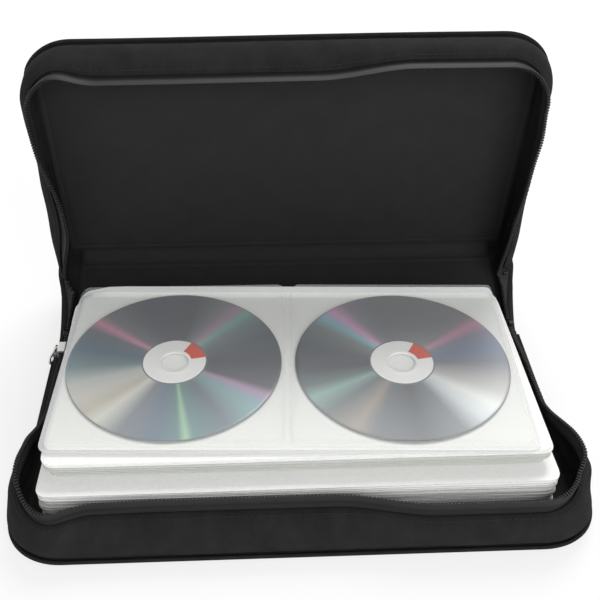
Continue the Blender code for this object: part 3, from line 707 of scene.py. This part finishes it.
def stitch_point(cover, along, lift=0.0):
    """A point of the stitch line, raised off the wall by lift."""
    return wall_point(cover, along, rim_height(cover, along) - TAPE_EXPOSED - STITCH_DROP, -lift)


for cover in WALLS:
    seam = bmesh.new()
    for number in range(int((SEAM_LENGTH - 2 * FIRST_STITCH) / STITCH_PITCH)):
        along = FIRST_STITCH + number * STITCH_PITCH
        middle = along + STITCH_LENGTH / 2
        lift = stitch_point(cover, middle, 1 * MM) - stitch_point(cover, middle)
        thread_stitch(seam, stitch_point(cover, along), stitch_point(cover, along + STITCH_LENGTH),
                      lift.normalized())
    add_piece(cover + "_wall_stitching", seam, [THREAD], cover, PLACES[cover])


# Fold strips. Past each fold the wall, its zip tape and its teeth run on round the spine's end, lower
# and slack, to the middle where the base's and the lid's rows meet.
STRIP_STEPS = 18
STRIP_ROWS = 6
SIDES = (("left", -1), ("right", 1))
MIDDLE_RIM = 10 * MM
MIDDLE_TUCK = 7 * MM
MIDDLE_EDGE = 0.5
TAPE_LAP = 0.14
TAPE_EDGE = 0.9


def fold_point(cover, side, run, share, inset):
    """A point of the strip from a cover's wall end, at run 0, to the spine's middle, at run 1. The
    share is the height from the seam, at 0, to the tooth tops, at 1."""
    end = 0.0 if side * WALLS[cover]["left"] > 0 else SEAM_LENGTH
    rim = rim_height(cover, end)
    start = PLACES[cover] @ wall_point(cover, end, WALL_FOOT + (rim - WALL_FOOT) * share, inset)
    height = WALL_FOOT + (MIDDLE_RIM - WALL_FOOT) * share
    wider = (0.8 if side > 0 else -0.4) * MM
    reach = CASE_WIDTH / 2 + wider - MIDDLE_TUCK * smooth_ramp(share, 0.2, 1) - inset
    middle = PLACES["spine"] @ Vector((side * reach, SPINE_WIDTH / 2, height))
    corner = PLACES[cover].translation + Vector((start.x, 0, 0))
    control = corner.lerp((start + middle) / 2, 0.25 + 0.75 * share)
    bow = (1.8 if cover == "lid" else -0.6) * MM
    bow *= math.sin(math.pi * min(1, share * 1.3)) * math.sin(math.pi * run)
    point = start * (1 - run) ** 2 + control * 2 * run * (1 - run) + middle * run ** 2
    return point + Vector((side * bow, 0, 0))


def bend_with_fold(piece):
    """Bakes a piece's placement into its mesh; the piece is already shaped round the fold and is not bent here."""
    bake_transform(piece)


def fold_band(name, cover, side, low, high, inset, thickness, finish):
    """A strip of cloth between two height shares, which change along its run."""
    def point_at(skin, run, row):
        share = low(run) + (high(run) - low(run)) * row / STRIP_ROWS
        return (fold_point(cover, side, run, share, inset + thickness * skin),
                (run * 0.036, share * 0.02, 0))

    strip = cloth_band(name, None, None, STRIP_STEPS, STRIP_ROWS, point_at, finish)
    bend_with_fold(strip)


for cover in WALLS:
    for side_name, side in SIDES:
        label = cover + "_" + side_name
        wall_share = 1 - TAPE_EXPOSED / (rim_height(cover, 0) - WALL_FOOT)

        def cloth_edge(run):
            return wall_share + (MIDDLE_EDGE - wall_share) * smooth_ramp(run, 0, 1)

        fold_band("fold_cloth_" + label, cover, side, lambda run: 0.0, cloth_edge, 0,
                  GUSSET_THICKNESS, COVER_NYLON)
        fold_band("fold_tape_" + label, cover, side, lambda run: cloth_edge(run) - TAPE_LAP,
                  lambda run: TAPE_EDGE, ROW_INSET - TAPE_THICKNESS / 2, TAPE_THICKNESS, SATIN_TAPE)
        teeth = bmesh.new()
        ends = [fold_point(cover, side, run, 1, ROW_INSET) for run in (0, 1)]
        count = int((ends[0] - ends[1]).length / TOOTH_PITCH)
        for number in range(1, count):
            here = fold_point(cover, side, number / count, 1, ROW_INSET)
            ahead = fold_point(cover, side, (number + 0.4) / count, 1, ROW_INSET)
            below = fold_point(cover, side, number / count, 0.8, ROW_INSET)
            run_way = (ahead - here).normalized()
            up_way = (here - below).normalized()
            across = run_way.cross(up_way).normalized()
            add_tooth(teeth, frame_at(here - up_way * TOOTH_HEIGHT / 2, across, run_way,
                                      across.cross(run_way)))
        bend_with_fold(add_piece("fold_teeth_" + label, teeth, [COIL_NYLON], None))


# Hinge cloths. Inside and outside, one strip of cloth bridges each fold and hides the boards' edges.
HINGE_REACH = 9.5 * MM
HINGE_THICKNESS = 0.35 * MM


def hinge_cloth(name, cover, level, reach, half_length):
    """A strip along a fold, on the inside where level is positive or the outside where negative."""
    spine_edge = 0 if cover == "base" else SPINE_WIDTH
    spine_reach = reach if cover == "base" else -reach
    start = PLACES[cover] @ Vector((0, -reach, level))
    end = PLACES["spine"] @ Vector((0, spine_edge + spine_reach, level))
    bend = (PLACES[cover] @ Vector((0, 0, level))
            + PLACES["spine"] @ Vector((0, spine_edge, level))) / 2
    inner_side = 1 if level > 0 else -1
    data = bmesh.new()
    lay = data.verts.layers.float_vector.new("cloth")
    grid = []
    columns, steps = 60, 12
    for column in range(columns + 1):
        x = half_length * (2 * column / columns - 1)
        line = []
        for step in range(steps + 1):
            run = step / steps
            point = start * (1 - run) ** 2 + bend * 2 * run * (1 - run) + end * run ** 2
            pucker = 0.25 * MM * noise.noise(Vector((x * 40, run * 2, level * 900)))
            vertex = data.verts.new((x, point.y + pucker * inner_side * math.sin(math.pi * run),
                                     point.z + pucker * inner_side * math.sin(math.pi * run)))
            vertex[lay] = (x, run * 2 * reach, 0)
            line.append(vertex)
        grid.append(line)
    join_grid(data, grid)
    finish = LINING_CLOTH if level > 0 else COVER_NYLON
    strip = add_piece(name, data, [finish], None, smooth_angle=60)
    skin = strip.modifiers.new("cloth thickness", "SOLIDIFY")
    skin.thickness = HINGE_THICKNESS
    skin.offset = 0
    bpy.context.view_layer.objects.active = strip
    thick = strip.evaluated_get(bpy.context.evaluated_depsgraph_get())
    solid = bpy.data.meshes.new_from_object(thick)
    strip.modifiers.clear()
    strip.data = solid
    bend_with_fold(strip)


for cover in WALLS:
    hinge_cloth("inner_hinge_cloth_" + cover, cover, HALF_BOARD + HINGE_THICKNESS, HINGE_REACH,
                CASE_WIDTH / 2 - SPINE_LINING_INSET)
    hinge_cloth("outer_hinge_cloth_" + cover, cover, -HALF_BOARD + HINGE_THICKNESS * 0.4, 3 * MM,
                CASE_WIDTH / 2 - 0.5 * MM)


# Sleeve pages. Each leaf is a white backing between two clear sleeves, welded along its rim. The top
# leaf lies askew with the discs. Under it the leaves lie square to the case: a middle group, two leaves
# that sit back a little, and the lower group, which has slid furthest forward. The two set-back leaves,
# and a share of the others at random, are painted grey as painted shade for the shade between the leaves.
PAGE_SIDE_ROOM = 22.5 * MM
PAGE_END_ROOM = 34.8 * MM
PAGE_TO_FOLD = 7.7 * MM
BOUND_EDGE_SHIFT = 0.4 * MM
PAGE_WIDTH = CASE_WIDTH - 2 * PAGE_SIDE_ROOM
PAGE_BACK = (COVER_DEPTH - PAGE_END_ROOM) / 2 - BOUND_EDGE_SHIFT
PAGE_FRONT = PAGE_BACK + 2 * BOUND_EDGE_SHIFT
PACK_CENTRE = Vector((-4.5 * MM, COVER_DEPTH / 2 - PAGE_TO_FOLD - PAGE_BACK, HALF_BOARD))
PACK_PLACE = Matrix.Translation(PACK_CENTRE) @ Matrix.Rotation(math.radians(-2.2), 4, "Z")
PAGE_CORNER = 7 * MM
LEAF_COUNT = 13
PLIES = 3
PLY_GAP = 0.16 * MM
PAINTED_SHADE_SHARE = 0.2
BLOCK_BOTTOM = LINING_FOOT + LINING_THICKNESS + SEAT_GAP
BLOCK_TOP = 48.4 * MM - HALF_BOARD - 1.2 * MM - SEAT_GAP
LEAF_PITCH = (BLOCK_TOP - BLOCK_BOTTOM + 0.2 * MM) / LEAF_COUNT
LEAF_GROUPS = (
    {"name": "lower", "first": 0, "left": -132.4, "right": 128.8, "front": -66.0, "back": 71.0,
     "spread": 1.3, "flare": 2.0},
    {"name": "set_back", "first": 8, "left": -130.0, "right": 126.0, "front": -53.6, "back": 73.6,
     "spread": 0.5, "flare": 0.6},
    {"name": "middle", "first": 10, "left": -131.6, "right": 127.4, "front": -56.6, "back": 74.0,
     "spread": 0.8, "flare": 0.6},
)


def page_finish(name, colour, roughness):
    """The soft coarse-grained plastic of the pages."""
    return plain_finish(name, colour, roughness, grain=0.04 * MM, grain_size=900.0, specular=0.3)


SLEEVE_WHITE = page_finish("white_sleeve", (0.92, 0.93, 0.9), 0.5)
BACKING_WHITE = page_finish("white_page_backing", (0.79, 0.8, 0.77), 0.5)
# Painted shade: a grey copy of the sleeve white, for leaves that lie in shade.
SLEEVE_PAINTED_SHADE = page_finish("painted_shade_sleeve_grey", (0.6, 0.61, 0.58), 0.45)
SLEEVE_RIM = plain_finish("clear_sleeve_rim", (0.78, 0.79, 0.8), 0.3, grain=0.03 * MM, alpha=0.55)


def rounded_corners(corners, radius, cuts):
    """An outline through corner points, each rounded by a quadratic curve, its sides cut up."""
    steps = 5
    points = []
    for index, corner in enumerate(corners):
        corner = Vector(corner)
        before = (Vector(corners[index - 1]) - corner).normalized() * radius
        after_corner = Vector(corners[(index + 1) % len(corners)])
        after = (after_corner - corner).normalized() * radius
        for step in range(steps + 1):
            run = step / steps
            points.append(corner + before * (1 - run) ** 2 + after * run ** 2)
        start = points[-1]
        end = after_corner + (corner - after_corner).normalized() * radius
        for cut in range(1, cuts):
            points.append(start.lerp(end, cut / cuts))
    return points


def shrunk(corners, inset):
    """Four corners of a leaf drawn in by an inset on every side."""
    middle = sum((Vector(corner) for corner in corners), Vector((0, 0))) / len(corners)
    drawn = []
    for corner in corners:
        away = Vector(corner) - middle
        step = Vector((math.copysign(inset, away.x), math.copysign(inset, away.y)))
        drawn.append(Vector(corner) - step)
    return drawn


def ply_rings(corners, low, high, rise, radius=PAGE_CORNER):
    """A thin sheet with rounded edges that follows a rise, a height for each plan point."""
    middle = (low + high) / 2
    half = (high - low) / 2
    rings = []
    for inset, level in ((5, -1), (0.5, -1), (0.05, -0.5), (0.05, 0.5), (0.5, 1), (3.2, 1), (3.6, 1),
                         (9, 1)):
        rounding = max(2.5 * MM, radius - inset * 0.4 * MM)
        outline = rounded_corners(shrunk(corners, inset * MM), rounding, 22)
        rings.append([Vector((point.x, point.y, middle + half * level + rise(point)))
                      for point in outline])
    return rings


def lower_rise(point):
    """The lower leaves lie very slightly wavy."""
    return 0.3 * MM * noise.noise(Vector((point.x * 16, point.y * 16, 1.7)))


ragged = random.Random(7)
for number in range(LEAF_COUNT - 1):
    group = [entry for entry in LEAF_GROUPS if entry["first"] <= number][-1]
    leaf = bmesh.new()
    lay = leaf.verts.layers.float_vector.new("cloth")
    for ply in range(PLIES):
        low = BLOCK_BOTTOM + HALF_BOARD + LEAF_PITCH * (number + ply / PLIES)
        high = low + LEAF_PITCH / PLIES - PLY_GAP
        spread = group["spread"]
        left = (group["left"] + ragged.uniform(-spread, spread)) * MM
        right = (group["right"] + ragged.uniform(-spread, spread)) * MM
        front = (group["front"] + ragged.uniform(-0.5, 0.5) * spread) * MM
        skew = ragged.uniform(-0.6, 0.6) * spread * MM
        flare = group["flare"] * MM
        back = group["back"] * MM
        corners = [(right, back), (left, back), (left - flare, front - skew),
                   (right + 1.6 * MM + flare, front + skew)]
        top_ply = number == LEAF_GROUPS[1]["first"] - 1 and ply == PLIES - 1
        # Painted shade: the set-back leaves and a random share of the others take the grey sleeve copy.
        painted_shade = not top_ply and (group["name"] == "set_back" or ragged.random() < PAINTED_SHADE_SHARE)
        sheet = stacked_rings(ply_rings(corners, low, high, lower_rise))
        for face in sheet.faces:
            face.material_index = int(painted_shade)
        joined = bpy.data.meshes.new("ply")
        sheet.to_mesh(joined)
        sheet.free()
        leaf.from_mesh(joined)
        bpy.data.meshes.remove(joined)
    pages = add_piece("sleeve_leaf_%02d" % (number + 1), leaf, [SLEEVE_WHITE, SLEEVE_PAINTED_SHADE], "base",
                      smooth_angle=60)
    if number == 0:
        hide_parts("page_block")


def top_rise(point):
    """The top leaf curls up along its bound edge, behind the discs, and less so at its left end."""
    length = smooth_ramp(point.x, -PAGE_WIDTH / 2, -PAGE_WIDTH / 2 + 24 * MM)
    curl = smooth_ramp(point.y, PAGE_BACK - 3.4 * MM, PAGE_BACK + 0.6 * MM)
    wave = noise.noise(Vector((point.x * 14, point.y * 14, 5.2)))
    return 1.35 * ((1.6 + 3.4 * length) * MM * curl) + 0.12 * MM * wave


half_page = PAGE_WIDTH / 2
top_corners = [(half_page - 0.9 * MM, PAGE_BACK), (-half_page + 1.0 * MM, PAGE_BACK),
               (-half_page + 0.6 * MM, -PAGE_FRONT), (half_page + 1.0 * MM, -PAGE_FRONT)]
backing_corners = [(x + 0.9 * MM, y) for x, y in shrunk(top_corners, 1.6 * MM)]
top_low = BLOCK_BOTTOM + LEAF_PITCH * (LEAF_COUNT - 1)
for name, corners, low, high, radius, finish in (
        ("top_leaf_sleeves", top_corners, top_low + 1.2 * MM, top_low + 1.7 * MM, PAGE_CORNER,
         SLEEVE_RIM),
        ("top_leaf_backing", backing_corners, top_low, BLOCK_TOP, 6 * MM, BACKING_WHITE)):
    add_piece(name, stacked_rings(ply_rings(corners, low, high, top_rise, radius)), [finish], "base",
              PACK_PLACE, smooth_angle=60)


# Binding strip and rivets. The leaves are clamped along their back edge by a bound strip of
# board, held by three rivets.
BINDING_CLOTH = cloth_finish("black_binding_board", (0.02, 0.02, 0.02), 0.6 * MM, 0.6, 0.1 * MM)
RIVET_STEEL = plain_finish("bright_rivet", (0.55, 0.55, 0.54), 0.3, metallic=1.0, grain=0.01 * MM)
strip_mesh = finish_solid("binding_strip", BINDING_CLOTH)
strip_lay = strip_mesh.attributes.new("cloth", "FLOAT_VECTOR", "POINT")
for vertex, entry in zip(strip_mesh.vertices, strip_lay.data):
    entry.vector = (vertex.co.x, vertex.co.z, 0)
for number in (1, 2, 3):
    finish_solid("binding_rivet_%d" % number, RIVET_STEEL)


# Discs. Each is clear plastic over a mirror layer, with a clear hub through which the printed
# label shows, white with a red field and a small red mark. The mirror layer carries a painted reflection: coloured
# spokes of light fanning out from the hub are painted into its colour, each given as its angle in degrees and its
# red, green and blue in hundredths.
DISC_RADIUS = 60 * MM
HOLE_RADIUS = 7.5 * MM
HUB_RADIUS = 18.3 * MM
DISC_THICKNESS = 1.2 * MM
DISC_SPACING = 127.4 * MM
DISC_MIDDLE = BLOCK_TOP + SEAT_GAP + DISC_THICKNESS / 2
PAINTED_REFLECTION_SPOKES = {
    "left": ((0, 14, 15, 17), (25, 22, 24, 26), (40, 30, 36, 36), (47, 33, 52, 48),
             (54, 50, 40, 47), (63, 34, 34, 36), (80, 21, 22, 24), (115, 21, 22, 24),
             (138, 30, 30, 32), (145, 68, 38, 48), (152, 24, 26, 29), (170, 16, 22, 28),
             (185, 22, 30, 31), (198, 50, 52, 50), (210, 56, 55, 52), (222, 52, 49, 43),
             (231, 62, 62, 57), (246, 27, 29, 31), (266, 20, 25, 30), (277, 20, 29, 29),
             (281, 36, 52, 38), (285, 20, 30, 30), (304, 20, 23, 26), (318, 27, 38, 38),
             (326, 30, 40, 44), (333, 44, 34, 44), (339, 17, 17, 19), (360, 14, 15, 17)),
    "right": ((0, 22, 23, 26), (14, 21, 25, 33), (28, 30, 30, 36), (36, 60, 36, 45),
              (43, 34, 33, 35), (75, 30, 31, 32), (105, 29, 30, 32), (120, 34, 34, 38),
              (130, 72, 46, 64), (138, 36, 58, 64), (147, 30, 33, 33), (168, 15, 16, 18),
              (186, 11, 12, 14), (200, 18, 22, 22), (209, 30, 42, 39), (222, 20, 22, 23),
              (240, 33, 30, 27), (250, 19, 20, 21), (275, 14, 15, 16), (298, 22, 23, 24),
              (312, 50, 53, 54), (324, 60, 62, 60), (334, 46, 46, 45), (346, 36, 36, 36),
              (360, 22, 23, 26)),
}
WHITE_FACE, RED_FACE, EDGE_FACE = 1, 2, 3


def painted_reflection_finish(name, spokes):
    """A mirror layer with a painted reflection: its colour turns with the angle round the disc's middle."""
    material, tree, shader = new_finish(name, Metallic=0.3, Roughness=0.42)
    place = tree.nodes.new("ShaderNodeTexCoord")
    parts = add_node(tree, "ShaderNodeSeparateXYZ", Vector=place.outputs["Object"])
    angle = add_math(tree, "ARCTAN2", parts.outputs["Y"], parts.outputs["X"])
    turn = add_math(tree, "DIVIDE", angle, 2 * math.pi)
    share = add_math(tree, "FRACT", add_math(tree, "ADD", turn, 1.0), 0.0)
    ramp = add_node(tree, "ShaderNodeValToRGB", Fac=share)
    elements = ramp.color_ramp.elements
    elements.remove(elements[-1])
    for degrees, *colour in spokes:
        element = elements.new(degrees / 360) if degrees else elements[0]
        element.position = degrees / 360
        element.color = [hundredths / 100 for hundredths in colour] + [1]
    deeper = add_node(tree, "ShaderNodeGamma", Gamma=1.25, Color=ramp.outputs["Color"])
    set_inputs(shader, Base_Color=deeper.outputs["Color"])
    return material


HUB_WHITE = plain_finish("white_label_under_hub", (0.8, 0.8, 0.78), 0.25, grain=0.01 * MM)
HUB_RED = plain_finish("red_label_under_hub", (0.62, 0.09, 0.05), 0.25, grain=0.01 * MM)
RIM_GREY = plain_finish("grey_disc_edge", (0.2, 0.21, 0.21), 0.2, grain=0.01 * MM)

for side_name, side in SIDES:
    place = PACK_PLACE @ Matrix.Translation((side * DISC_SPACING / 2, 0, DISC_MIDDLE))
    half = DISC_THICKNESS / 2
    profile = [(HOLE_RADIUS, -half), (HOLE_RADIUS, half - 0.1 * MM), (HOLE_RADIUS + 0.3 * MM, half),
               (8.6 * MM, half), (8.9 * MM, half + 0.06 * MM), (9.3 * MM, half), (14 * MM, half),
               (HUB_RADIUS - 0.8 * MM, half), (HUB_RADIUS, half - 0.05 * MM), (19.5 * MM, half),
               (40 * MM, half), (58.2 * MM, half), (59.6 * MM, half), (DISC_RADIUS, half - 0.3 * MM),
               (DISC_RADIUS, -half + 0.3 * MM), (59.6 * MM, -half)]
    segments = 144
    disc = bmesh.new()
    turns = [2 * math.pi * k / segments for k in range(segments)]
    loops = [[disc.verts.new((radius * math.cos(turn), radius * math.sin(turn), z)) for turn in turns]
             for radius, z in profile]
    for index, (near, far) in enumerate(zip(loops, loops[1:] + loops[:1])):
        radius = (profile[index][0] + profile[(index + 1) % len(profile)][0]) / 2
        for k in range(segments):
            after = (k + 1) % segments
            face = disc.faces.new((near[k], near[after], far[after], far[k]))
            degrees = 360 * (k + 0.5) / segments
            if index == len(profile) - 1 or radius > 59.5 * MM:
                face.material_index = EDGE_FACE
            elif radius < HUB_RADIUS - 0.6 * MM:
                field = 12 < degrees < 62 and radius > 10 * MM
                mark = 218 < degrees < 226 and radius > 16 * MM
                face.material_index = RED_FACE if field or mark else WHITE_FACE
            elif radius < HUB_RADIUS:
                face.material_index = EDGE_FACE
    # Painted reflection: the disc's mirror layer takes the painted spokes of reflected light as its colour.
    painted_reflection = painted_reflection_finish("painted_reflection_spokes_" + side_name, PAINTED_REFLECTION_SPOKES[side_name])
    platter = add_piece("mirror_disc_" + side_name, disc, [painted_reflection, HUB_WHITE, HUB_RED, RIM_GREY],
                        "base", place)
    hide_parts("disc_" + side_name)


# Pocket films. A clear soft film is welded over each disc, with a dull seam along its edges.
FILM_THICKNESS = 0.25 * MM
FILM_HALF = 62.5 * MM
FILM_MIDDLE = DISC_MIDDLE + DISC_THICKNESS / 2 + SEAT_GAP + FILM_THICKNESS / 2

CLEAR_FILM, film_tree, film_shader = new_finish(
    "clear_pocket_film", Base_Color=(0.9, 0.92, 0.92, 1), Roughness=0.12, Alpha=0.05)
film_place = film_tree.nodes.new("ShaderNodeTexCoord")
film_waves = add_node(film_tree, "ShaderNodeTexNoise", Scale=35.0, Detail=2.0,
                      Vector=film_place.outputs["Object"])
film_bump = add_node(film_tree, "ShaderNodeBump", Strength=0.3, Distance=0.5 * MM,
                     Height=film_waves.outputs["Fac"])
set_inputs(film_shader, Normal=film_bump.outputs["Normal"])
FILM_SEAM = plain_finish("welded_film_seam", (0.84, 0.85, 0.84), 0.4, alpha=0.14)

for side_name, side in SIDES:
    place = PACK_PLACE @ Matrix.Translation((side * DISC_SPACING / 2, 1 * MM, FILM_MIDDLE))
    rings = []
    for inset, z in ((3, -0.5), (0.1, -0.5), (0, 0), (0.1, 0.5), (0.9, 0.9), (1.3, 0.5), (3, 0.5)):
        half = FILM_HALF - inset * MM
        outline = rounded_corners([(half, half), (-half, half), (-half, -half), (half, -half)],
                                  5 * MM, 1)
        ring = []
        for x, y in outline:
            on_page = Vector((x + side * DISC_SPACING / 2, y + 1 * MM))
            ring.append(Vector((x, y, FILM_THICKNESS * z + max(0.0, top_rise(on_page) - 0.1 * MM))))
        rings.append(ring)
    film = stacked_rings(rings)
    for face in film.faces:
        middle = face.calc_center_median()
        edge = FILM_HALF - max(abs(middle.x), abs(middle.y))
        face.material_index = 1 if edge < 1.3 * MM and len(face.verts) == 4 else 0
    pocket = add_piece("pocket_film_sheet_" + side_name, film, [CLEAR_FILM, FILM_SEAM], "base", place,
                       smooth_angle=60)
    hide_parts("pocket_film_" + side_name)


# Slider and pull. Die-cast metal with a bright nickel plate and a fine grain in its surface.
NICKEL = plain_finish("bright_nickel", (0.72, 0.72, 0.7), 0.28, metallic=0.85, grain_size=1200.0)
for node in ("zip_slider", "slider_pull"):
    finish_solid(node, NICKEL)
